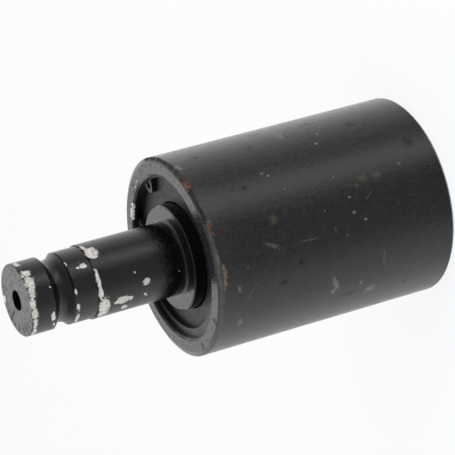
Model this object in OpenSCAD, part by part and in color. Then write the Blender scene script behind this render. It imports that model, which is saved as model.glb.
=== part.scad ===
// Conveyor roller on a one-sided stub axle: a heavy tube shell turning on two
// shielded ball bearings, with a shaft seal and retaining ring behind its mouth.
// All sizes are in millimetres. The axis is Z; the shell stands on its far end
// at z = 0 and the stub points up.

/* [Shell] */
// Wall of the shell round its bearing bores
shell_wall = 7; // [5:0.1:11]
// Length of the shell
shell_len = 100; // [92:1:160]
// How far the bevel on the shell's near edge reaches inward on the end face
shell_edge_radial = 1.9; // [0.5:0.1:2.4]
// How far the bevel on the shell's near edge reaches along the side
shell_edge_axial = 0.9; // [0.4:0.1:1.4]
// Bevel on the shell's far edge
shell_far_edge = 1.0; // [0.4:0.1:1.5]
// Lead-in bevel of both bearing bores at their mouths
bore_lead_in = 0.6; // [0.4:0.1:1.2]
// Height of the two shoulders that the bearings' outer rings stand against
shell_shoulder_h = 3.5; // [2.8:0.1:6]

/* [Retaining rings in the shell] */
// Distance from the shell's near face to the front ring's groove
ring_set_back = 2.2; // [1.8:0.1:3]
// Thickness of the rings
ring_t = 2.0; // [1.75:0.05:2.5]
// Extra width of each groove over its ring
ring_groove_play = 0.15; // [0.1:0.05:0.2]
// Depth of each groove below the bore wall
ring_groove_depth = 1.5; // [1:0.1:2]
// Room between the rings and the bottoms of their grooves
ring_bottom_gap = 0.1; // [0.05:0.05:0.2]
// Radial width of a ring half way round
ring_w = 3.5; // [3:0.1:4]
// How much wider than half way round the ring is opposite its gap
ring_taper = 1.7; // [1:0.1:1.9]
// Opening between the ring's two lugs, in degrees
ring_gap_deg = 34; // [26:1:42]
// Turn of the front ring round the axis; at 0 its gap faces +Y
front_ring_turn = 41; // [0:1:359]
// Radial height of the lugs, measured from the ring's outside
ring_lug_h = 6.3; // [5.8:0.1:7.5]
// Width of each lug where it joins the ring
ring_lug_w = 7.4; // [6.5:0.1:8.5]
// Rounding of each lug's tip
ring_lug_tip_r = 2.2; // [1.8:0.1:2.6]
// Rounding between each lug and the ring's inside
ring_lug_fillet = 2; // [1:0.1:3]
// Plier holes in the lugs
ring_hole_d = 2.5; // [1.5:0.1:3]

/* [Ball bearings] */
// Bore of both bearings
bearing_bore = 30; // [29:0.5:31]
// Outer diameter of both bearings
bearing_od = 62; // [61:0.5:63]
// Width of both bearings
bearing_w = 16; // [15:0.5:18]
// Diameter of the balls
ball_d = 9.525; // [9:0.025:10]
// Number of balls in each bearing
ball_count = 9; // [7:1:10]
// Running play between a ball and either race
ball_play = 0.01; // [0.01:0.005:0.03]
// Race radius as a share of the ball diameter
race_share = 0.52; // [0.51:0.005:0.54]
// Corner bevel of the bearing rings
race_bevel = 1.0; // [0.5:0.1:1.2]
// Play round each ball in its cage pocket
pocket_play = 0.1; // [0.05:0.05:0.2]
// Radial thickness of the cage
cage_t = 4.2; // [3:0.1:4.6]
// Thickness of the steel shields
shield_t = 0.6; // [0.4:0.1:0.8]
// Running gap between a shield and the inner ring
shield_gap = 0.35; // [0.3:0.05:0.5]

/* [Shaft seal] */
// Width of the shaft seal
seal_w = 8; // [8:0.5:10]
// Wall of the seal's steel case
seal_case_t = 1.2; // [0.8:0.1:1.4]
// Running fit of the lip on the collar, as a radial gap
lip_fit = 0.05; // [0.02:0.01:0.08]
// Gap between the seal's face and the collar
seal_face_gap = 0.5; // [0.3:0.1:0.8]
// Gap between the lip's bonded flange and the inside of the case
lip_flange_gap = 2.8; // [2:0.1:3.4]
// Wire diameter of the garter spring
garter_d = 1.2; // [1:0.1:1.4]

/* [Stub axle] */
// Collar that the seal runs on
collar_d = 40; // [38:0.5:41]
// How far the collar's face stands out of the shell
collar_proud = 0.6; // [0:0.1:2]
// Bevel on the collar's edge
collar_bevel = 0.4; // [0.2:0.1:0.8]
// Fillet between the collar's face and the stub
collar_fillet = 1.0; // [0.5:0.1:2]
// Main diameter of the stub
stub_d = 28; // [27.5:0.1:30]
// Reach of the whole stub beyond the shell's near face
stub_out = 62.7; // [60:0.1:90]
// Diameter of the stub beyond its step
stub_neck_d = 27; // [26:0.1:27.4]
// Length of the neck between the step and the locking groove
stub_neck_len = 9.3; // [6:0.1:12]
// Diameter of the head at the stub's end
stub_head_d = 27.1; // [26:0.1:27.4]
// Length of the head at the stub's end
stub_head_len = 9.9; // [6:0.1:12]
// Diameter at the bottom of the locking groove
lock_groove_d = 23.1; // [22:0.1:24]
// Groove width from its bottom to the head
lock_groove_head_side = 3.2; // [2.4:0.1:4]
// Groove width from its bottom to the neck
lock_groove_neck_side = 4.0; // [3:0.1:5]
// Bevel on the stub's end
stub_end_bevel = 0.25; // [0.1:0.05:1]
// Hole in the stub's end
end_hole_d = 7.6; // [6:0.1:9]
// Depth of the hole in the stub's end
end_hole_depth = 20; // [12:1:30]
// Bevel at the mouth of the end hole
end_hole_bevel = 0.15; // [0.1:0.05:0.5]

/* [Far end] */
// Thickness of the shim washer behind the rear bearing
shim_t = 1; // [0.8:0.1:1.4]
// Outer diameter of the shim washer
shim_d = 42; // [38:0.5:44]
// Thickness of the snap ring on the axle
snap_t = 1.5; // [1.2:0.1:1.75]
// Extra width of the snap ring's groove
snap_groove_play = 0.1; // [0.05:0.05:0.15]
// Depth of the snap ring's groove
snap_groove_depth = 0.7; // [0.5:0.1:1]
// Radial width of the snap ring
snap_w = 3.5; // [3:0.1:4]
// Opening of the snap ring, in degrees
snap_gap_deg = 20; // [14:1:30]
// Length of axle left beyond the snap ring's groove
axle_tail = 2.9; // [2:0.1:3.2]
// Bevel on the axle's hidden end
axle_tail_bevel = 1.0; // [0.5:0.1:1.5]
// Length of the end cap's rim
cap_rim = 8; // [7.5:0.1:8.5]
// Wall of the end cap
cap_wall = 1.5; // [1:0.1:1.8]

/* [Hidden] */
$fn = 96;
eps = 0.01;
bore_r = bearing_od / 2;
shell_r = bore_r + shell_wall;
waist_r = bore_r - shell_shoulder_h;
seat_r = bearing_bore / 2;
stub_r = stub_d / 2;
collar_r = collar_d / 2;
neck_r = stub_neck_d / 2;
head_r = stub_head_d / 2;
groove_r = lock_groove_d / 2;

// heights of the front stack, downward from the near face
near_z = shell_len;
front_groove_z = near_z - ring_set_back;
front_ring_z = front_groove_z - ring_t;
seal_z = front_ring_z - seal_w;
front_bearing_z = seal_z - bearing_w;

// heights of the far stack, upward from the far face
cap_z = 1.8;
rear_ring_z = cap_z + cap_rim;
rear_bearing_z = rear_ring_z + ring_t;
shoulder_z = rear_bearing_z + bearing_w;
shim_z = rear_bearing_z - shim_t;
snap_z = shim_z - snap_t;
tail_z = snap_z - snap_groove_play - axle_tail;

// bearing section
pitch_r = (seat_r + bore_r) / 2;
ball_r = ball_d / 2;
race_r = ball_d * race_share;
inner_land_r = pitch_r - 0.3 * ball_d;
outer_land_r = pitch_r + 0.352 * ball_d;
shield_seat_r = outer_land_r + 1.45;
shield_z = bearing_w / 2 - 1.4;
cage_low = -(ball_r + 1);
cage_high = 0.34 * ball_d;

// stub heights
tip_z = near_z + stub_out;
head_z = tip_z - stub_head_len;
groove_z = head_z - lock_groove_head_side;
neck_z = groove_z - lock_groove_neck_side;
step_z = neck_z - stub_neck_len;
collar_z = near_z + collar_proud;
// arc radii that run from the groove's bottom up to the head and to the neck
head_arc = (pow(lock_groove_head_side, 2) + pow(head_r - groove_r, 2)) / (2 * (head_r - groove_r));
neck_arc = (pow(lock_groove_neck_side, 2) + pow(neck_r - groove_r, 2)) / (2 * (neck_r - groove_r));

paint = [0.20, 0.20, 0.21];
steel = [0.62, 0.63, 0.65];
spring_steel = [0.30, 0.30, 0.32];
cage_tone = [0.16, 0.22, 0.16];
rubber = [0.08, 0.08, 0.08];

// ---- shell ----

module roller_shell() {
    color(paint) difference() {
        rotate_extrude() polygon([
            [waist_r, 0], [shell_r - shell_far_edge, 0], [shell_r, shell_far_edge],
            [shell_r, near_z - shell_edge_axial], [shell_r - shell_edge_radial, near_z],
            [waist_r, near_z]]);
        // bearing bores with their lead-in bevels
        translate([0, 0, front_bearing_z]) cylinder(r = bore_r, h = near_z);
        translate([0, 0, near_z - bore_lead_in])
            cylinder(r1 = bore_r, r2 = bore_r + bore_lead_in * 2, h = bore_lead_in * 2);
        translate([0, 0, -near_z]) cylinder(r = bore_r, h = near_z + shoulder_z);
        translate([0, 0, -bore_lead_in])
            cylinder(r1 = bore_r + bore_lead_in * 2, r2 = bore_r, h = bore_lead_in * 2);
        // grooves for the two rings
        translate([0, 0, front_ring_z - ring_groove_play])
            cylinder(r = bore_r + ring_groove_depth, h = ring_t + ring_groove_play);
        translate([0, 0, rear_ring_z - ring_groove_play])
            cylinder(r = bore_r + ring_groove_depth, h = ring_t + ring_groove_play);
    }
}

// ---- retaining rings ----

// Ring for a bore, tapering toward its gap, which faces +Y
module bore_ring() {
    ring_or = bore_r + ring_groove_depth - ring_bottom_gap;
    ring_ir = ring_or - ring_w;
    hole_r = ring_or - ring_lug_h + ring_hole_d / 2 + 1.7;
    lug_deg = ring_gap_deg / 2 + atan(ring_lug_w / 2 / (ring_or - 2)) - 0.3;
    difference() {
        intersection() {
            cylinder(r = ring_or, h = ring_t);
            union() {
                difference() {
                    cylinder(r = ring_or + 1, h = ring_t);
                    translate([0, ring_taper, -1]) cylinder(r = ring_ir, h = ring_t + 2);
                }
                for (s = [-1, 1]) rotate([0, 0, s * lug_deg]) ring_lug(s, ring_or);
            }
        }
        // opening between the lugs
        rotate([0, 0, 90]) ring_opening(ring_gap_deg, ring_or + 2, ring_t);
        for (s = [-1, 1]) rotate([0, 0, s * lug_deg])
            translate([0, hole_r, -1]) cylinder(d = ring_hole_d, h = ring_t + 2);
    }
}

// One lug along +Y: a tongue with a round tip and sloping sides, filled out toward the ring's
// inside on the side that s points away from
module ring_lug(s, ring_or) {
    tip_y = ring_or - ring_lug_h + ring_lug_tip_r;
    root = [ring_lug_w / 2, ring_or - 2];
    // the sides run a little inside the tip's round, so that they cross it
    side_r = ring_lug_tip_r * 0.98;
    slope = atan2(root[1] - tip_y, root[0]);
    lean = slope - acos(side_r / norm([root[0], root[1] - tip_y]));
    edge = [side_r * cos(lean), tip_y + side_r * sin(lean)];
    steep = atan2(root[1] - edge[1], root[0] - edge[0]);
    // centre of the rounding between the side and the ring's inside
    turn_x = root[0] + ring_lug_fillet * (1 - cos(steep)) / sin(steep);
    turn_y = root[1] - ring_lug_fillet;
    translate([0, tip_y, 0]) cylinder(r = ring_lug_tip_r, h = ring_t);
    linear_extrude(ring_t) polygon([
        edge, root, [root[0], ring_or + 1.5], [-root[0], ring_or + 1.5], [-root[0], root[1]],
        [-edge[0], edge[1]]]);
    difference() {
        linear_extrude(ring_t) polygon([
            [-s, ring_or + 1.4], [-s, turn_y], [-s * turn_x, turn_y], [-s * turn_x, ring_or + 1.4]]);
        translate([-s * turn_x, turn_y, -1])
            cylinder(r = ring_lug_fillet * 1.02, h = ring_t + 2);
    }
}

// Wedge of the given angle along +X, used to open a ring
module ring_opening(deg, reach, t) {
    w = 2 * reach * tan(deg / 2);
    translate([0, 0, -1]) linear_extrude(t + 2)
        polygon([[0, 0], [reach, -w / 2], [reach, w / 2]]);
}

module front_ring() {
    color(paint) translate([0, 0, front_ring_z]) rotate([0, 0, front_ring_turn]) bore_ring();
}

module rear_ring() {
    color(spring_steel) translate([0, 0, rear_ring_z]) bore_ring();
}

// ---- shaft seal ----

module seal_case() {
    flange_r = collar_r + seal_face_gap;
    color(paint) translate([0, 0, seal_z]) rotate_extrude() polygon([
        [flange_r, seal_w - seal_case_t], [flange_r, seal_w], [bore_r - 0.4, seal_w],
        [bore_r, seal_w - 0.4], [bore_r, 0.4], [bore_r - 0.4, 0],
        [bore_r - seal_case_t, 0], [bore_r - seal_case_t, seal_w - seal_case_t]]);
}

module seal_lip() {
    top = seal_w - seal_case_t;
    flange_r = bore_r - seal_case_t - lip_flange_gap;
    color(rubber) translate([0, 0, seal_z]) difference() {
        rotate_extrude() polygon([
            [collar_r + 0.95, top], [flange_r, top], [flange_r, top - 1],
            [collar_r + 2.9, top - 1], [collar_r + 2.5, 3.9], [collar_r + 2.9, 3.6],
            [collar_r + 2.9, 1.9], [collar_r + 1.9, 1.4], [collar_r + 0.9, 1.6],
            [collar_r + lip_fit, 3.1], [collar_r + 0.75, 4.8]]);
        garter_torus();
    }
}

// Line that the garter spring runs along, in the lip's outer groove
module garter_torus() {
    translate([0, 0, 2.8]) rotate_extrude()
        translate([collar_r + 2.4 + garter_d / 2, 0]) circle(d = garter_d, $fn = 32);
}

module seal_spring() {
    color(steel) translate([0, 0, seal_z]) garter_torus();
}

// ---- ball bearings ----

// Race groove of the given centre radius
module race_groove(centre_r) {
    rotate_extrude() translate([centre_r, 0]) circle(r = race_r, $fn = 64);
}

module outer_race() {
    h = bearing_w / 2;
    groove_centre = pitch_r + ball_r + ball_play - race_r;
    color(steel) difference() {
        rotate_extrude() polygon([
            [outer_land_r, -shield_z], [shield_seat_r, -shield_z], [shield_seat_r, -h],
            [bore_r - race_bevel, -h], [bore_r, -h + race_bevel],
            [bore_r, h - race_bevel], [bore_r - race_bevel, h],
            [shield_seat_r, h], [shield_seat_r, shield_z], [outer_land_r, shield_z]]);
        race_groove(groove_centre);
    }
}

module inner_race() {
    h = bearing_w / 2;
    groove_centre = pitch_r - ball_r - ball_play + race_r;
    color(steel) difference() {
        rotate_extrude() polygon([
            [seat_r + race_bevel, -h], [inner_land_r, -h], [inner_land_r, h],
            [seat_r + race_bevel, h], [seat_r, h - race_bevel], [seat_r, -h + race_bevel]]);
        race_groove(groove_centre);
    }
}

module balls() {
    color(steel) for (i = [0 : ball_count - 1])
        rotate([0, 0, i * 360 / ball_count]) translate([pitch_r, 0, 0]) sphere(r = ball_r, $fn = 48);
}

// Moulded snap cage: closed below the balls, open above them
module cage() {
    color(cage_tone) difference() {
        translate([0, 0, cage_low]) difference() {
            cylinder(r = pitch_r + cage_t / 2, h = cage_high - cage_low);
            translate([0, 0, -1]) cylinder(r = pitch_r - cage_t / 2, h = cage_high - cage_low + 2);
        }
        for (i = [0 : ball_count - 1])
            rotate([0, 0, i * 360 / ball_count]) translate([pitch_r, 0, 0])
                sphere(r = ball_r + pocket_play, $fn = 48);
    }
}

// Shield for the upper face: a thin disc with its rim turned out into the outer ring
module shield() {
    color(steel) rotate_extrude() polygon([
        [inner_land_r + shield_gap, shield_z], [shield_seat_r, shield_z],
        [shield_seat_r, shield_z + 1.3], [shield_seat_r - shield_t, shield_z + 1.3],
        [shield_seat_r - shield_t, shield_z + shield_t],
        [inner_land_r + shield_gap, shield_z + shield_t]]);
}

front_mid_z = front_bearing_z + bearing_w / 2;
rear_mid_z = rear_bearing_z + bearing_w / 2;

module front_outer_race() { translate([0, 0, front_mid_z]) outer_race(); }
module front_inner_race() { translate([0, 0, front_mid_z]) inner_race(); }
module front_balls() { translate([0, 0, front_mid_z]) balls(); }
module front_cage() { translate([0, 0, front_mid_z]) cage(); }
module front_shield_near() { translate([0, 0, front_mid_z]) shield(); }
module front_shield_far() { translate([0, 0, front_mid_z]) mirror([0, 0, 1]) shield(); }

module rear_outer_race() { translate([0, 0, rear_mid_z]) outer_race(); }
module rear_inner_race() { translate([0, 0, rear_mid_z]) inner_race(); }
module rear_balls() { translate([0, 0, rear_mid_z]) balls(); }
module rear_cage() { translate([0, 0, rear_mid_z]) mirror([0, 0, 1]) cage(); }
module rear_shield_near() { translate([0, 0, rear_mid_z]) shield(); }
module rear_shield_far() { translate([0, 0, rear_mid_z]) mirror([0, 0, 1]) shield(); }

// ---- axle and what is clamped on it ----

// Sleeve that keeps the two inner rings apart
module inner_sleeve() {
    color(steel) translate([0, 0, shoulder_z]) difference() {
        cylinder(r = seat_r + 3, h = front_bearing_z - shoulder_z);
        translate([0, 0, -1]) cylinder(r = seat_r, h = front_bearing_z - shoulder_z + 2);
    }
}

module stub_axle() {
    color(paint) difference() {
        union() {
            axle_turned();
            stub_fillet();
        }
        lock_groove();
        end_hole();
        // groove of the snap ring
        translate([0, 0, snap_z - snap_groove_play]) difference() {
            cylinder(r = seat_r + 1, h = snap_t + snap_groove_play);
            translate([0, 0, -1]) cylinder(r = seat_r - snap_groove_depth, h = snap_t + 2);
        }
    }
}

module axle_turned() {
    rotate_extrude() polygon([
        [0, tail_z], [seat_r - axle_tail_bevel, tail_z], [seat_r, tail_z + axle_tail_bevel],
        [seat_r, seal_z], [collar_r, seal_z], [collar_r, collar_z - collar_bevel],
        [collar_r - collar_bevel, collar_z], [stub_r, collar_z], [stub_r, step_z],
        [neck_r, step_z], [neck_r, groove_z], [head_r, groove_z],
        [head_r, tip_z - stub_end_bevel], [head_r - stub_end_bevel, tip_z], [0, tip_z]]);
}

module stub_fillet() {
    rotate_extrude() translate([stub_r, collar_z]) difference() {
        translate([-1, -0.5]) square([collar_fillet + 1, collar_fillet + 0.5]);
        translate([collar_fillet, collar_fillet]) circle(r = collar_fillet, $fn = 48);
    }
}

// Rounded locking groove: a tight arc on the head's side, a wide one on the neck's
module lock_groove() {
    translate([0, 0, groove_z]) rotate_extrude() {
        groove_half(head_arc, lock_groove_head_side, 1);
        groove_half(neck_arc, lock_groove_neck_side, -1);
    }
}

module groove_half(arc, reach, side) {
    intersection() {
        translate([groove_r + arc, 0]) circle(r = arc, $fn = 96);
        translate([groove_r - 1, side > 0 ? 0 : -reach]) square([5, reach]);
    }
}

module end_hole() {
    r = end_hole_d / 2;
    translate([0, 0, tip_z]) rotate_extrude() polygon([
        [0, 1], [r + end_hole_bevel + 1, 1], [r + end_hole_bevel, 0],
        [r, -end_hole_bevel], [r, -end_hole_depth], [0, -end_hole_depth - r * tan(31)]]);
}

module axle_shim() {
    color(steel) translate([0, 0, shim_z]) difference() {
        cylinder(d = shim_d, h = shim_t);
        translate([0, 0, -1]) cylinder(r = seat_r, h = shim_t + 2);
    }
}

module axle_snap_ring() {
    in_r = seat_r - snap_groove_depth;
    lug_r = 2.1;
    lug_deg = snap_gap_deg / 2 + 9;
    color(spring_steel) translate([0, 0, snap_z]) difference() {
        union() {
            translate([0, -0.4, 0]) cylinder(r = in_r + snap_w - 0.4, h = snap_t);
            for (s = [-1, 1]) rotate([0, 0, s * lug_deg])
                translate([0, in_r + 2.9, 0]) cylinder(r = lug_r, h = snap_t);
        }
        translate([0, 0, -1]) cylinder(r = in_r, h = snap_t + 2);
        rotate([0, 0, 90]) ring_opening(snap_gap_deg, in_r + 8, snap_t);
        for (s = [-1, 1]) rotate([0, 0, s * lug_deg])
            translate([0, in_r + 2.9, -1]) cylinder(d = 2, h = snap_t + 2);
    }
}

module end_cap() {
    color(spring_steel) translate([0, 0, cap_z]) rotate_extrude() polygon([
        [0, 0], [bore_r - 1, 0], [bore_r, 1], [bore_r, cap_rim],
        [bore_r - cap_wall, cap_rim], [bore_r - cap_wall, cap_wall], [0, cap_wall]]);
}

roller_shell();
stub_axle();
front_ring();
seal_case();
seal_lip();
seal_spring();
front_outer_race();
front_inner_race();
front_balls();
front_cage();
front_shield_near();
front_shield_far();
inner_sleeve();
rear_outer_race();
rear_inner_race();
rear_balls();
rear_cage();
rear_shield_near();
rear_shield_far();
rear_ring();
axle_shim();
axle_snap_ring();
end_cap();
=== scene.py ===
"""Looks of the conveyor roller: chipped dark paint, rust at the shell's mouth, steel inside."""
import math

import bpy
from mathutils import Matrix, Vector


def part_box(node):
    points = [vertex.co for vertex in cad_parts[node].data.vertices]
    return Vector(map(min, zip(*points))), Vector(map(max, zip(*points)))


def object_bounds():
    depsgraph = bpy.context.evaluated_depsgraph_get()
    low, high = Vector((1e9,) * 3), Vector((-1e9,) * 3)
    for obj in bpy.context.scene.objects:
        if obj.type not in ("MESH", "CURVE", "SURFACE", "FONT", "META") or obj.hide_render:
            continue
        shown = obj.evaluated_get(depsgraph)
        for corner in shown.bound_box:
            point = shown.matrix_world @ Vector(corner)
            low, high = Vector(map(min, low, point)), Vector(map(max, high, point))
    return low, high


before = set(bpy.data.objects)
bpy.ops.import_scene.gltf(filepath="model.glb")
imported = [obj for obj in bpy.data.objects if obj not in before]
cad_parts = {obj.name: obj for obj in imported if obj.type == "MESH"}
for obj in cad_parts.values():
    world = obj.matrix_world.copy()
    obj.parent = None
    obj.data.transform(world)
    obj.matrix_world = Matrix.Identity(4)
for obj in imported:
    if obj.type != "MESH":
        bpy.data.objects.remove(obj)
CAD_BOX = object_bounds()

# ---- sizes that the looks are placed by, in millimetres; the shell's and the axle's are read from the CAD pieces ----

SHELL = [c * 1000 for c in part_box("roller_shell")[1]]
AXLE = [c * 1000 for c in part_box("stub_axle")[1]]
SHELL_R, NEAR_Z, TIP_Z = SHELL[0], SHELL[2], AXLE[2]
STUB_R = 14.0
NECK_R = 13.5
HEAD_R = 13.55
FACING = 2.7  # azimuth of the side that the photographer stood on, in degrees


# ---- node helpers ----


class Tree:
    """Short calls that add shader nodes to one material or world."""

    def __init__(self, owner):
        owner.use_nodes = True
        self.nodes = owner.node_tree.nodes
        self.links = owner.node_tree.links
        self.nodes.clear()

    def add(self, kind, inputs=None, out=0, **props):
        node = self.nodes.new(kind)
        for key, value in props.items():
            setattr(node, key, value)
        for key, value in (inputs or {}).items():
            self.put(node.inputs[key], value)
        return node.outputs[out] if len(node.outputs) else node

    def put(self, socket, value):
        if isinstance(value, bpy.types.NodeSocket):
            self.links.new(value, socket)
        else:
            socket.default_value = value

    def math(self, op, a, b=0.0, c=0.0):
        return self.add("ShaderNodeMath", {0: a, 1: b, 2: c}, operation=op)

    def vec(self, op, a, b=(0, 0, 0), out=0):
        return self.add("ShaderNodeVectorMath", {0: a, 1: b}, out=out, operation=op)

    def scale(self, a, k):
        return self.add("ShaderNodeVectorMath", {0: a, "Scale": k}, operation="SCALE")

    def noise(self, at, scale, detail=3.0, rough=0.55, out=0):
        inputs = {"Vector": at, "Scale": scale, "Detail": detail, "Roughness": rough}
        return self.add("ShaderNodeTexNoise", inputs, out=out)

    def range(self, x, a, b, lo=0.0, hi=1.0):
        """Runs smoothly from lo to hi as x goes from a to b."""
        inputs = {0: x, 1: a, 2: b, 3: lo, 4: hi}
        return self.add("ShaderNodeMapRange", inputs, interpolation_type="SMOOTHSTEP")

    def mix(self, k, a, b):
        """Mixes two colours."""
        node = self.nodes.new("ShaderNodeMix")
        node.data_type = "RGBA"
        for socket, value in ((node.inputs[0], k), (node.inputs[6], a), (node.inputs[7], b)):
            self.put(socket, value)
        return node.outputs[2]

    def blend(self, k, a, b):
        """Mixes two numbers."""
        inputs = {0: k, 2: a, 3: b}
        return self.add("ShaderNodeMix", inputs, data_type="FLOAT")

    def mm(self):
        """Place on the piece in millimetres, in the row frame."""
        at = self.add("ShaderNodeTexCoord", out=3)
        return self.scale(at, 1000.0)

    def ragged(self, at, scale, reach, detail=4.0):
        """The place, pushed about by noise, so that marks get broken outlines."""
        push = self.noise(at, scale, detail, 0.65, out=1)
        push = self.vec("SUBTRACT", push, (0.5, 0.5, 0.5))
        return self.vec("ADD", at, self.scale(push, 2 * reach))

    def marks(self, at, spots):
        """Least distance to any of the spots, where 1 is a spot's outline.

        A spot is (azimuth, radius, height, half sizes radial, round and along, tilt)."""
        best = last = None
        for phi, r, z, dr, dt, dz, tilt in spots:
            a = math.radians(phi)
            here = at
            if last is not None:  # worked out one after another, which keeps the shader small
                again = {0: last, 1: (0, 0, 0), 2: at}
                here = self.add("ShaderNodeVectorMath", again, operation="MULTIPLY_ADD")
            inputs = {"Vector": here, "Location": (r * math.cos(a), r * math.sin(a), z)}
            inputs.update({"Rotation": (math.radians(tilt), 0, a), "Scale": (dr, dt, dz)})
            last = self.add("ShaderNodeMapping", inputs, vector_type="TEXTURE")
            far = self.vec("LENGTH", last, out=1)
            best = far if best is None else self.math("MINIMUM", best, far)
        return best

    def inside(self, field, soft=0.12, fray=None, depth=0.0):
        """Covers the spots; fray is a noise that eats into them and depth is how far."""
        if fray is not None:
            field = self.math("ADD", field, self.math("MULTIPLY_ADD", fray, 2 * depth, -depth))
        return self.range(field, 1 + soft, 1 - soft)

    def bump(self, height):
        """Relief from a height in millimetres."""
        return self.add("ShaderNodeBump", {"Height": height, "Strength": 1.0, "Distance": 0.001})

    def height(self, at):
        """Height of a place above the shell's far face."""
        return self.add("ShaderNodeSeparateXYZ", {0: at}, out=2)

    def finish(self, color, rough, metal, normal):
        inputs = {"Base Color": color, "Roughness": rough, "Metallic": metal, "Normal": normal}
        shader = self.add("ShaderNodeBsdfPrincipled", inputs)
        self.add("ShaderNodeOutputMaterial", {"Surface": shader})


def material(name):
    """A new material of this name; one that the CAD pieces brought along makes way for it."""
    old = bpy.data.materials.get(name)
    if old is not None:
        old.name = "cad_" + name
    made = bpy.data.materials.new(name)
    return made, Tree(made)


def dress(node, made):
    """Gives a CAD node its material."""
    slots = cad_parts[node].data.materials
    slots.clear()
    slots.append(made)


def rgb(r, g, b):
    return (r, g, b, 1.0)


def side(a, z, dt, dz, r=STUB_R, dr=1.2, tilt=0.0):
    """A spot on a turned surface; a counts from the photographer's side."""
    return (FACING + a, r, z, dr, dt, dz, tilt)


def flat(x, y, z, dr, dt, dz=0.8, tilt=0.0):
    """A spot on an end face."""
    return (math.degrees(math.atan2(y, x)), math.hypot(x, y), z, dr, dt, dz, tilt)


# ---- paint ----

PAINT = rgb(0.0016, 0.0021, 0.0034)
PAINT_DRIFT = rgb(0.0046, 0.0046, 0.0048)
PAINT_GRAIN = rgb(0.0098, 0.0104, 0.0132)
PAINT_HAZE = rgb(0.0150, 0.0158, 0.0190)
PAINT_AXLE = rgb(0.0012, 0.0013, 0.0018)
GRIME_AND_SHADE = rgb(0.002, 0.002, 0.002)
# near-black for the tip's dirt and smears, and for the painted shade in the locking groove
GRIME_AND_GROOVE_SHADE = rgb(0.003, 0.003, 0.003)
HOLE_WALL = rgb(0.03, 0.03, 0.03)
END_DUST = rgb(0.070, 0.069, 0.066)
SIDE_DUST = rgb(0.030, 0.0295, 0.029)
DARK_PATCH = rgb(0.022, 0.021, 0.018)
STAIN = rgb(0.070, 0.058, 0.030)
WORN_EDGE = rgb(0.085, 0.080, 0.072)
SCUFF = rgb(0.22, 0.21, 0.195)
SCRATCH = rgb(0.15, 0.15, 0.15)
SPECK = rgb(0.36, 0.35, 0.33)
OLD_RUST_TONE = rgb(0.021, 0.0125, 0.008)
RUST_DARK, RUST_BRIGHT = rgb(0.045, 0.020, 0.010), rgb(0.20, 0.075, 0.024)
CRUST_TONE = rgb(0.17, 0.125, 0.092)
METAL_DULL, METAL_BRIGHT = rgb(0.56, 0.535, 0.49), rgb(0.84, 0.82, 0.78)
METAL_FLECK = rgb(0.27, 0.255, 0.23)


def paint_base(t, at):
    """Glossy dark paint with slow colour drift, a cloudy haze, orange peel and fine grain.

    Gives the colour, the roughness and the relief in millimetres."""
    drift = t.noise(at, 0.12, 3.0)
    grain = t.noise(at, 1.1, 2.0, 0.6)
    peel = t.noise(at, 0.6, 3.0, 0.6)
    color = t.mix(t.range(drift, 0.35, 0.7), PAINT, PAINT_DRIFT)
    color = t.mix(t.range(grain, 0.38, 0.62), color, PAINT_GRAIN)
    haze = t.range(t.noise(t.vec("MULTIPLY", at, (1.0, 1.0, 0.6)), 0.5, 4.0, 0.8), 0.46, 0.62)
    color = t.mix(t.math("MULTIPLY", haze, 0.5), color, PAINT_HAZE)
    rough = t.math("MULTIPLY_ADD", grain, 0.16, 0.06)
    rough = t.math("MULTIPLY_ADD", haze, 0.12, rough)
    relief = t.math("MULTIPLY", peel, 0.075)
    relief = t.math("MULTIPLY_ADD", grain, 0.050, relief)
    return color, rough, relief


def bare_metal(t, at):
    """Colour of metal laid bare: pale beige grey, clouded, flecked and pitted."""
    tone = t.mix(t.range(t.noise(at, 0.8, 4.0, 0.7), 0.40, 0.62), METAL_DULL, METAL_BRIGHT)
    fleck = t.range(t.noise(at, 1.5, 4.0, 0.7), 0.52, 0.60)
    return t.mix(t.math("MULTIPLY", fleck, 0.65), tone, METAL_FLECK)


STUB_CHIPS = [
    side(43, 134.1, 2.9, 2.5), side(60, 135.6, 1.7, 0.6), side(25, 139.4, 1.1, 1.6, NECK_R),
    side(24, 141.2, 0.4, 0.9, NECK_R), side(-4.6, 135.8, 5.2, 0.75), side(-48, 134.4, 4.6, 2.3),
    side(-66, 134.2, 2.6, 2.1), side(-24, 135.6, 2.2, 1.1), side(-46, 126.9, 1.6, 3.3),
    side(-47, 123.6, 1.0, 0.9), side(-65.5, 125.6, 1.4, 1.4), side(-25, 117.2, 1.5, 1.35),
    side(-47.3, 117.7, 1.0, 0.5, tilt=25), side(-23.6, 103.8, 0.25, 0.28),
    side(-6.6, 121.4, 0.4, 0.28, tilt=30), side(36, 145.2, 0.9, 0.3, NECK_R),
    side(-12, 145.0, 1.2, 0.45, NECK_R), side(-37, 144.6, 1.4, 0.7, NECK_R),
    side(-63, 144.5, 3.6, 0.7, NECK_R), side(-42.6, 154.6, 2.1, 0.75, HEAD_R),
    side(-60, 153.8, 1.2, 0.45, HEAD_R), side(6.3, 154.0, 0.25, 0.25, HEAD_R),
]
HEAD_BAND = [
    side(38, 160.7, 1.4, 1.8, HEAD_R), side(22, 160.8, 2.5, 1.8, HEAD_R),
    side(7, 161.2, 2.6, 1.2, HEAD_R), side(-10, 161.9, 3.6, 0.9, HEAD_R),
    side(-28, 161.6, 2.3, 1.25, HEAD_R), side(-45, 161.6, 3.0, 0.9, HEAD_R),
    side(-68, 161.4, 3.2, 0.8, HEAD_R), side(68, 161.2, 2.4, 0.9, HEAD_R),
    flat(-12.2, 1.0, TIP_Z, 1.6, 1.5),
]
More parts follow.
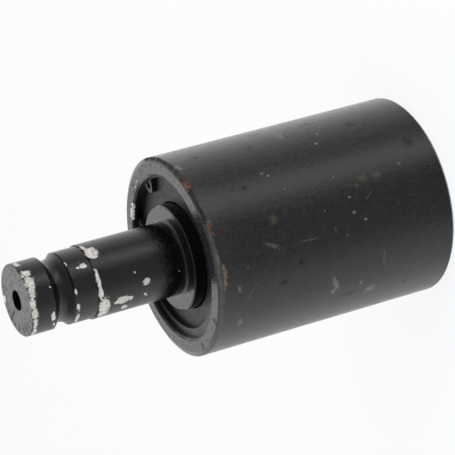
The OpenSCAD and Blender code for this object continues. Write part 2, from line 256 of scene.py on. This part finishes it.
END_DIRT = [
    flat(-6.6, -4.6, TIP_Z, 2.2, 0.7, tilt=20), flat(-9.4, -6.2, TIP_Z, 0.9, 1.2),
    flat(-4.4, -10.2, TIP_Z, 1.6, 0.5), flat(-1.0, -10.6, TIP_Z, 2.0, 0.35),
    flat(2.2, -10.0, TIP_Z, 1.9, 0.4),
    flat(5.6, -9.6, TIP_Z, 1.9, 0.45), flat(8.4, -8.2, TIP_Z, 1.2, 0.4), flat(10.6, -6.2, TIP_Z, 0.8, 0.8),
    flat(9.6, 8.6, TIP_Z, 0.4, 2.4), flat(-7.6, -8.4, TIP_Z, 1.2, 0.5),
]
END_SMEAR = [
    (phi, 10.9, TIP_Z, 1.9, 1.7, 0.8, 0.0) for phi in (150, 166, 182, 198, 213, 272, 286)
]
# painted shade in the corners of the locking groove
GROOVE_SHADE = [
    side(a, 145.5, 3.4, 0.32, 13.3, 1.0) for a in (62, 48, 34, 22, 12, 3)
] + [
    side(a, 153.0, 3.6, 0.42, 13.2, 1.2) for a in (26, 12, -2, -16, -30, 40)
]


def end_face(t, at, top, color, rough):
    """Speckled dirt on an end face at height top: pale dust and dark grime."""
    face = t.range(t.height(at), top - 0.5, top - 0.2)
    grime = t.range(t.noise(at, 0.55, 6.0, 0.8), 0.50, 0.62)
    dust = t.range(t.noise(t.vec("ADD", at, (37.0, 5.0, 0.0)), 0.9, 6.0, 0.85), 0.50, 0.62)
    color = t.mix(t.math("MULTIPLY", t.math("MULTIPLY", dust, face), 0.6), color, END_DUST)
    grime = t.math("MULTIPLY", grime, face)
    color = t.mix(t.math("MULTIPLY", grime, 0.7), color, GRIME_AND_SHADE)
    return color, t.blend(t.math("MULTIPLY", grime, 0.8), rough, 0.55)


def axle_paint():
    made, t = material("axle_paint")
    at = t.mm()
    color, rough, relief = paint_base(t, at)
    color = t.mix(0.6, color, PAINT_AXLE)
    color, rough = end_face(t, at, TIP_Z, color, rough)
    torn = t.ragged(at, 0.5, 0.9, 7.0)
    fray = t.noise(at, 0.95, 6.0, 0.8)
    chips = t.inside(t.marks(torn, STUB_CHIPS), 0.05, fray, 1.1)
    flakes = t.inside(t.marks(torn, HEAD_BAND), 0.05, fray, 1.9)
    chips = t.math("MAXIMUM", chips, flakes)
    dirt = t.inside(t.marks(t.ragged(at, 0.9, 0.9, 5.0), END_DIRT), 0.25, fray, 1.8)
    smear = t.inside(t.marks(torn, END_SMEAR), 0.6, fray, 2.4)
    # painted shade: the groove's corners are darkened in the colour
    groove = t.inside(t.marks(at, GROOVE_SHADE), 0.5, fray, 0.8)
    black = t.math("MAXIMUM", t.math("MULTIPLY", smear, 0.45), t.math("MULTIPLY", groove, 0.85))
    black = t.math("MAXIMUM", black, t.math("MULTIPLY", dirt, 0.8))
    color = t.mix(black, color, GRIME_AND_GROOVE_SHADE)
    color = t.mix(chips, color, bare_metal(t, at))
    rough = t.blend(t.math("MAXIMUM", chips, black), rough, 0.5)
    hole = t.inside(t.marks(at, [(0, 0, TIP_Z - 10.3, 4.2, 4.2, 10.3, 0)]), 0.02)
    color = t.mix(hole, color, HOLE_WALL)
    relief = t.math("MULTIPLY_ADD", chips, -0.08, relief)
    # where the marks are black, the metallic setting also takes the gloss away, which deepens the painted
    # shade in the groove
    t.finish(color, rough, t.blend(chips, black, 0.15), t.bump(relief))
    return made


SHELL_SCUFFS = [
    side(a, z, dt, dz, SHELL_R, 1.2, tilt) for a, z, dt, dz, tilt in (
        (63, 53.4, 2.0, 1.0, 20), (58, 53.8, 1.2, 0.9, 0), (69, 58.6, 1.6, 1.4, 0),
        (70, 61.0, 1.2, 0.9, 0), (-42, 51.4, 3.2, 0.8, 25), (-47, 52.2, 1.2, 0.8, 0),
        (-54, 35.4, 1.4, 1.9, 20), (-46.8, 40.1, 0.7, 0.7, 0), (-50, 91.0, 1.1, 0.7, 0),
        (-27, 92.0, 0.9, 0.5, 0), (54, 97.4, 1.9, 0.9, 10), (12.5, 98.3, 1.6, 0.9, 0),
    )
]
SHELL_SPECKS = [
    side(a, z, dt, dz, SHELL_R, 1.2, 0) for a, z, dt, dz in (
        (43.7, 43.5, 0.55, 0.6), (51.6, 40.0, 0.9, 0.35), (33, 70.4, 0.5, 0.5),
        (30.5, 68.5, 0.4, 0.5), (16.8, 17.0, 0.35, 0.4), (19.6, 44.6, 0.3, 0.35),
        (-8.1, 37.3, 0.45, 0.55), (-3, 41.3, 0.35, 0.5), (2.3, 52.8, 0.3, 0.3),
        (6, 41.5, 0.3, 0.6), (57, 36.6, 0.6, 0.4), (20, 65, 0.25, 0.25), (-14, 46, 0.25, 0.25),
    )
]
SHELL_LINES = [
    side(a, z, dt, dz, SHELL_R, 1.2, tilt) for a, z, dt, dz, tilt in (
        (-9.6, 50.3, 1.3, 0.22, 20), (-10.9, 61.6, 0.28, 2.9, -3), (-8.6, 76.3, 0.7, 2.6, -28),
        (-33, 31.2, 2.4, 0.28, -4), (-36, 31.0, 0.9, 0.6, 0),
        (4, 33.5, 0.2, 2.0, 40), (-31, 87.0, 0.2, 3.0, 50),
    )
]
SHELL_BROWN = [
    side(14, 28.0, 1.3, 1.4, SHELL_R), side(14.5, 33.8, 1.4, 1.6, SHELL_R),
    side(11, 37.2, 0.8, 0.8, SHELL_R), side(4.9, 73.6, 1.3, 1.4, SHELL_R),
]
SHELL_DARK = [
    side(a, z, dt, dz, SHELL_R, 1.2, 0) for a, z, dt, dz in (
        (26.8, 79.4, 1.0, 1.1), (28, 84.4, 0.6, 0.8), (55.4, 67.5, 1.3, 1.1), (52.6, 25.6, 1.3, 1.5),
        (28, 9.4, 1.6, 1.6), (-56.7, 20, 0.6, 1.0), (-31, 73.8, 0.9, 1.4), (-53, 44, 0.8, 3.4),
        (-22, 66, 0.9, 1.2), (66, 40, 1.3, 1.9), (60, 88, 1.3, 1.3),
    )
]
RUST = [
    (phi, r, z, dr, dt, dz, 0.0) for phi, r, z, dr, dt, dz in (
        (41.5, 37.5, 99.0, 0.9, 1.9, 1.1), (14, 38.0, 98.6, 1.0, 1.5, 1.0), (9, 38.0, 97.9, 0.8, 0.6, 0.5),
        (-13.5, 38.0, 88.1, 1.0, 0.5, 0.6), (47, 37.6, 98.9, 0.6, 0.7, 0.7),
    )
]
OLD_RUST = [
    (phi, 37.4, 99.4, 0.9, dt, dz, 0.0) for phi, dt, dz in (
        (90, 3.2, 0.45), (82, 3.0, 0.7), (74, 2.8, 0.9), (67, 2.6, 1.1), (60, 2.6, 1.3),
        (53, 2.6, 1.4), (47, 2.4, 1.4), (36, 2.4, 0.9), (28, 2.6, 0.7), (18, 1.6, 0.7))
]
CRUST = [
    side(-13, 97.4, 1.2, 0.6, SHELL_R), side(-17, 97.2, 1.8, 0.8, SHELL_R),
    side(-21.5, 97.4, 1.6, 0.7, SHELL_R), side(-25, 97.9, 0.9, 0.4, SHELL_R),
    side(-8, 98.9, 1.6, 0.4, SHELL_R),
]
EDGE_WORN = [
    side(a, 99.2, 4.2, dz, 37.7, 0.8, 0) for a, dz in (
        (-3, 0.8), (-12, 1.1), (-21, 1.1), (-30, 0.9), (-40, 0.8), (-50, 0.7), (5, 0.6))
]
MOUTH_CHIPS = [
    flat(-25.6, 19.0, NEAR_Z - 0.1, 1.3, 2.6), flat(-23.2, 21.6, NEAR_Z - 0.1, 1.0, 1.4),
    flat(-16, 28.3, NEAR_Z, 0.4, 0.4), flat(-13.5, 30.3, NEAR_Z, 0.25, 0.5),
]
FACE_PITS = [
    flat(-8.2, 33.4, NEAR_Z, 0.9, 0.4), flat(3.2, 35.3, NEAR_Z, 1.0, 0.4),
    flat(8.1, -33.9, NEAR_Z, 1.6, 1.0), flat(-17.5, 29.2, NEAR_Z, 0.5, 0.9),
    flat(-12, 31.5, NEAR_Z, 0.35, 0.5), flat(-18.5, 26.6, NEAR_Z, 0.5, 1.2),
    flat(-1.5, 34.2, NEAR_Z, 0.3, 0.3), flat(11.5, 33.5, NEAR_Z, 0.3, 0.6),
    flat(15.0, -29.5, NEAR_Z, 0.4, 0.5), flat(-26.2, -22.4, NEAR_Z, 0.4, 0.5),
    flat(-5.0, 35.6, NEAR_Z, 0.3, 0.8), flat(24.0, -25.5, NEAR_Z, 1.4, 1.0),
]
# painted shade just inside the bore's mouth, round the side away from the photographer
MOUTH_SHADE = [
    (phi, 31.5, 99.8, 0.45, 5.0, 0.6, 0.0) for phi in (72, 88, 120, 136, 150, 222, 238, 254, 270, 286)
]
DARK_EDGE = [
    (phi, 37.6, 99.3, 0.6, 3.4, 0.7, 0.0) for phi in (36, 30, 24, 18)
]


def grit(t, at):
    """Fine even noise for dust and broken marks."""
    return t.noise(t.vec("ADD", at, (0.0, 61.0, 17.0)), 1.3, 7.0, 0.85)


def over(t, look, cover, share, tone, dull):
    """Lays a tone over the (colour, roughness) pair where cover is 1."""
    color, rough = look
    return t.mix(t.math("MULTIPLY", cover, share), color, tone), t.blend(cover, rough, dull)


def shell_grime_and_shade(t, at, torn, fray, blots):
    """Where the shell is blackened: flecks, pits of the near face, painted shade at the bore's mouth and
    small dents.
    """
    flecks = t.inside(t.marks(torn, SHELL_DARK), 0.3, blots, 5.0)
    dark = t.inside(t.marks(torn, FACE_PITS + DARK_EDGE), 0.2, fray, 2.6)
    mouth = t.inside(t.marks(at, MOUTH_SHADE), 0.5, fray, 1.2)
    black = t.math("MAXIMUM", t.math("MULTIPLY", flecks, 0.4), t.math("MULTIPLY", mouth, 0.6))
    black = t.math("MAXIMUM", black, t.math("MULTIPLY", dark, 0.7))
    # the dents are stronger on the side that faces +Y
    dents = t.range(t.noise(t.vec("ADD", at, (11.0, 3.0, 29.0)), 0.62, 4.0, 0.65), 0.59, 0.66)
    upper = t.range(t.add("ShaderNodeSeparateXYZ", {0: at}, out=1), 14.0, 32.0)
    strength = t.math("MULTIPLY_ADD", upper, 0.25, 0.09)
    return t.math("MAXIMUM", black, t.math("MULTIPLY", dents, strength))


def shell_rubs(t, torn, fine, blots, look):
    """Stains, the worn near edge, scuffs, scratches and small bare specks."""
    layers = (
        (torn, SHELL_BROWN, 0.5, 3.6, 0.6, STAIN),
        (torn, EDGE_WORN, 0.3, 2.6, 0.55, WORN_EDGE),
        (torn, SHELL_SCUFFS, 0.4, 3.6, 0.55, SCUFF),
        (fine, SHELL_LINES, 0.5, 3.6, 0.35, SCRATCH),
        (fine, SHELL_SPECKS, 0.3, 3.6, 0.4, SPECK),
    )
    for place, spots, soft, depth, share, tone in layers:
        cover = t.inside(t.marks(place, spots), soft, blots, depth)
        look = over(t, look, cover, share, tone, 0.5)
    return look


def shell_rust(t, at, torn, fray, look):
    """Old brown rust, fresh orange rust and pale crust on the near edge.

    Gives the look and the covers of the three."""
    old = t.inside(t.marks(torn, OLD_RUST), 0.3, fray, 2.0)
    look = over(t, look, old, 0.85, OLD_RUST_TONE, 0.8)
    rust = t.inside(t.marks(torn, RUST), 0.25, fray, 1.8)
    tone = t.mix(t.range(t.noise(at, 1.1, 5.0), 0.42, 0.58), RUST_DARK, RUST_BRIGHT)
    look = over(t, look, rust, 0.95, tone, 0.8)
    crust = t.inside(t.marks(torn, CRUST), 0.2, fray, 2.2)
    return over(t, look, crust, 0.8, CRUST_TONE, 0.8), old, rust, crust


def shell_paint():
    made, t = material("shell_paint")
    at = t.mm()
    color, rough, relief = paint_base(t, at)
    near = t.range(t.height(at), NEAR_Z - 14, NEAR_Z - 2)
    dusty = t.math("MULTIPLY", near, t.range(grit(t, at), 0.40, 0.60))
    color = t.mix(t.math("MULTIPLY", dusty, 0.5), color, SIDE_DUST)
    look = end_face(t, at, NEAR_Z, color, rough)
    torn = t.ragged(at, 0.55, 0.9, 6.0)
    fine = t.ragged(at, 1.0, 0.35, 5.0)
    fray = t.noise(at, 1.0, 6.0, 0.8)
    blots = t.noise(at, 0.9, 7.0, 0.85)
    black = shell_grime_and_shade(t, at, torn, fray, blots)
    # the dark tone lays the flecks, pits and dents, and the painted shade at the bore's mouth
    look = over(t, look, black, 1.0, GRIME_AND_SHADE, 0.5)
    look = shell_rubs(t, torn, fine, blots, look)
    chips = t.inside(t.marks(torn, MOUTH_CHIPS), 0.1, fray, 1.4)
    look = over(t, look, chips, 0.95, bare_metal(t, at), 0.5)
    look, old, rust, crust = shell_rust(t, at, torn, fray, look)
    relief = t.math("MULTIPLY_ADD", t.math("MAXIMUM", rust, crust), 0.08, relief)
    metal = t.blend(t.math("MAXIMUM", chips, t.math("MAXIMUM", old, rust)), black, 0.1)
    t.finish(look[0], look[1], metal, t.bump(relief))
    return made


def plain_paint(name, rough_at=0.1, dark_patches=()):
    """The same paint on the smaller pieces, duller by rough_at and with a few darker, duller patches."""
    made, t = material(name)
    at = t.mm()
    color, rough, relief = paint_base(t, at)
    rough = t.math("ADD", rough, rough_at)
    if dark_patches:
        field = t.marks(t.ragged(at, 0.6, 1.2), list(dark_patches))
        dull = t.inside(field, 0.3, t.noise(at, 1.6, 5.0, 0.75), 1.6)
        color = t.mix(t.math("MULTIPLY", dull, 0.7), color, DARK_PATCH)
        rough = t.blend(dull, rough, 0.6)
    t.finish(color, rough, 0.0, t.bump(relief))
    return made


def steel(name, tone, rough, lathe=0.0, metal=1.0):
    """Machined steel; lathe is the height of turning marks round the axis, in millimetres."""
    made, t = material(name)
    at = t.mm()
    parts = [t.add("ShaderNodeSeparateXYZ", {0: at}, out=k) for k in range(3)]
    r = t.math("POWER", t.math("ADD", t.math("POWER", parts[0], 2.0), t.math("POWER", parts[1], 2.0)), 0.5)
    rings = t.add("ShaderNodeCombineXYZ", {0: r, 1: 0.0, 2: parts[2]})
    turned = t.noise(rings, 7.0, 2.0)
    cloud = t.noise(at, 0.4, 4.0)
    dark = tuple(c * 0.72 for c in tone[:3]) + (1.0,)
    color = t.mix(t.range(cloud, 0.35, 0.7), dark, tone)
    relief = t.math("MULTIPLY_ADD", turned, lathe, t.math("MULTIPLY", cloud, 0.004))
    t.finish(color, t.math("MULTIPLY_ADD", cloud, 0.12, rough - 0.06), metal, t.bump(relief))
    return made


def moulded(name, tone, rough):
    """Rubber or cage plastic with a fine moulded skin."""
    made, t = material(name)
    at = t.mm()
    pale = tuple(min(1.0, c * 1.6 + 0.004) for c in tone[:3]) + (1.0,)
    color = t.mix(t.range(t.noise(at, 0.6, 4.0), 0.4, 0.75), tone, pale)
    relief = t.math("MULTIPLY", t.noise(at, 3.0, 3.0), 0.01)
    t.finish(color, rough, 0.0, t.bump(relief))
    return made


def dress_all():
    dress("roller_shell", shell_paint())
    dress("stub_axle", axle_paint())
    dress("front_ring", plain_paint("ring_paint", 0.26))
    seal_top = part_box("seal_case")[1][2] * 1000
    # a darker, duller patch near the top of the seal face
    dress("seal_case", plain_paint("seal_paint", 0.34, [flat(-0.8, 23.0, seal_top, 1.8, 3.0, 1.0)]))
    dress("end_cap", plain_paint("cap_paint"))
    dress("rear_ring", steel("ring_steel", rgb(0.09, 0.09, 0.095), 0.35, 0.002, 0.8))
    dress("axle_snap_ring", steel("snap_steel", rgb(0.09, 0.09, 0.095), 0.35, 0.002, 0.8))
    dress("seal_lip", moulded("seal_rubber", rgb(0.012, 0.012, 0.012), 0.5))
    dress("seal_spring", steel("garter_steel", rgb(0.5, 0.5, 0.52), 0.3))
    bearing = steel("bearing_steel", rgb(0.56, 0.57, 0.59), 0.2, 0.003)
    shield = steel("shield_steel", rgb(0.5, 0.5, 0.51), 0.33, 0.002)
    ball = steel("ball_steel", rgb(0.72, 0.73, 0.75), 0.07)
    cage = moulded("cage_plastic", rgb(0.06, 0.10, 0.06), 0.45)
    for end in ("front", "rear"):
        dress(end + "_outer_race", bearing)
        dress(end + "_inner_race", bearing)
        dress(end + "_balls", ball)
        dress(end + "_cage", cage)
        dress(end + "_shield_near", shield)
        dress(end + "_shield_far", shield)
    turned = steel("turned_steel", rgb(0.45, 0.46, 0.48), 0.32, 0.005)
    dress("inner_sleeve", turned)
    dress("axle_shim", turned)


# ---- stage ----

# Brightness of the studio's surroundings by azimuth, below the horizon
SWEEP = (
    (-180, 1.0), (-170, 1.0), (-162, 0.66), (-149, 0.70), (-141, 0.82), (-133, 0.92), (-125, 1.03),
    (-113, 1.16), (-93, 1.22), (-77, 1.12), (-61, 1.00), (-53, 0.90), (-45, 0.74),
    (-37, 0.58), (-29, 0.44), (-13, 0.39), (10, 0.35), (18, 0.38), (26, 0.54), (34, 0.95),
    (42, 1.40), (50, 1.66), (58, 1.40), (66, 0.90), (74, 0.58), (82, 0.58), (90, 0.70),
    (106, 0.97), (130, 1.22), (146, 1.18), (160, 0.95), (174, 1.0),
)


def studio():
    """Soft white surroundings: a panel beside the camera, a dim side behind it."""
    world = bpy.data.worlds.new("studio")
    bpy.context.scene.world = world
    t = Tree(world)
    way = t.add("ShaderNodeTexCoord", out=0)
    x, y, z = (t.add("ShaderNodeSeparateXYZ", {0: way}, out=k) for k in range(3))
    around = t.math("ARCTAN2", y, x)
    around = t.math("MULTIPLY_ADD", around, 0.5 / math.pi, 0.5)
    ramp = t.nodes.new("ShaderNodeValToRGB")
    t.put(ramp.inputs[0], around)
    steps = ramp.color_ramp.elements
    while len(steps) < len(SWEEP):
        steps.new(0.5)
    for step, (az, level) in zip(steps, SWEEP):
        step.position = az / 360 + 0.5
        step.color = rgb(level, level, level)
    back = t.range(x, -0.9, 0.25, 1.34, 0.34)
    level = t.blend(t.range(z, -0.08, 0.16), ramp.outputs[0], back)
    shade = t.add("ShaderNodeBackground", {"Color": level, "Strength": 1.0})
    t.add("ShaderNodeOutputWorld", {"Surface": shade})


def floor(low):
    """A pale floor that lets the white surroundings through and keeps the shadow."""
    mesh = bpy.data.meshes.new("floor")
    reach = 4.0
    corners = [(-reach, -reach, low), (reach, -reach, low), (reach, reach, low), (-reach, reach, low)]
    mesh.from_pydata(corners, [], [(0, 1, 2, 3)])
    plane = bpy.data.objects.new("floor", mesh)
    bpy.context.collection.objects.link(plane)
    made, t = material("floor_pale")
    at = t.mm()
    tone = t.mix(t.noise(at, 0.01, 2.0), rgb(0.86, 0.86, 0.86), rgb(0.90, 0.90, 0.90))
    solid = t.add("ShaderNodeBsdfDiffuse", {"Color": tone})
    clear = t.add("ShaderNodeBsdfTransparent")
    path = t.nodes.new("ShaderNodeLightPath")
    seen = t.math("MAXIMUM", path.outputs["Is Camera Ray"], path.outputs["Is Glossy Ray"])
    seen = t.math("MAXIMUM", seen, path.outputs["Is Transmission Ray"])
    share = t.math("MULTIPLY", seen, 0.86)
    both = t.add("ShaderNodeMixShader", {0: share, 1: solid, 2: clear})
    t.add("ShaderNodeOutputMaterial", {"Surface": both})
    mesh.materials.append(made)


def softbox(name, place, target, watts):
    """A soft lamp half a metre wide that the paint doesn't mirror."""
    data = bpy.data.lights.new(name, "AREA")
    data.shape = "RECTANGLE"
    data.size = data.size_y = 0.5
    data.energy = watts
    lamp = bpy.data.objects.new(name, data)
    bpy.context.collection.objects.link(lamp)
    lamp.location = place
    lamp.rotation_mode = "QUATERNION"
    lamp.rotation_quaternion = (target - place).to_track_quat("-Z", "Y")
    lamp.visible_glossy = False


def camera(centre, unit):
    """The photographer's viewpoint: long lens, axis running down to the left."""
    data = bpy.data.cameras.new("camera")
    data.sensor_width = 36.0
    data.lens = 207.74
    data.clip_start, data.clip_end = 0.05, 50.0
    cam = bpy.data.objects.new("camera", data)
    bpy.context.collection.objects.link(cam)
    place = centre + Vector((23.4156, 1.1082, 10.1069)) * unit
    ahead = Vector((-0.907850, -0.037626, -0.417604)).normalized()
    up = Vector((0.070739, 0.967945, -0.240994)).normalized()
    right = ahead.cross(up).normalized()
    up = right.cross(ahead)
    turn = Matrix((right, up, -ahead)).transposed()
    cam.matrix_world = Matrix.Translation(place) @ turn.to_4x4()
    bpy.context.scene.camera = cam


def stage():
    unit = SHELL_R / 1000
    centre = Vector((0, 0, NEAR_Z / 1000))
    studio()
    floor(CAD_BOX[0][2])
    softbox("key", centre + Vector((9, 14, 18)) * unit, centre, 4.0)
    softbox("fill", centre + Vector((10, -14, 8)) * unit, centre, 1.6)
    camera(centre, unit)


def main():
    scene = bpy.context.scene
    scene.view_settings.view_transform = "Standard"
    dress_all()
    stage()


main()
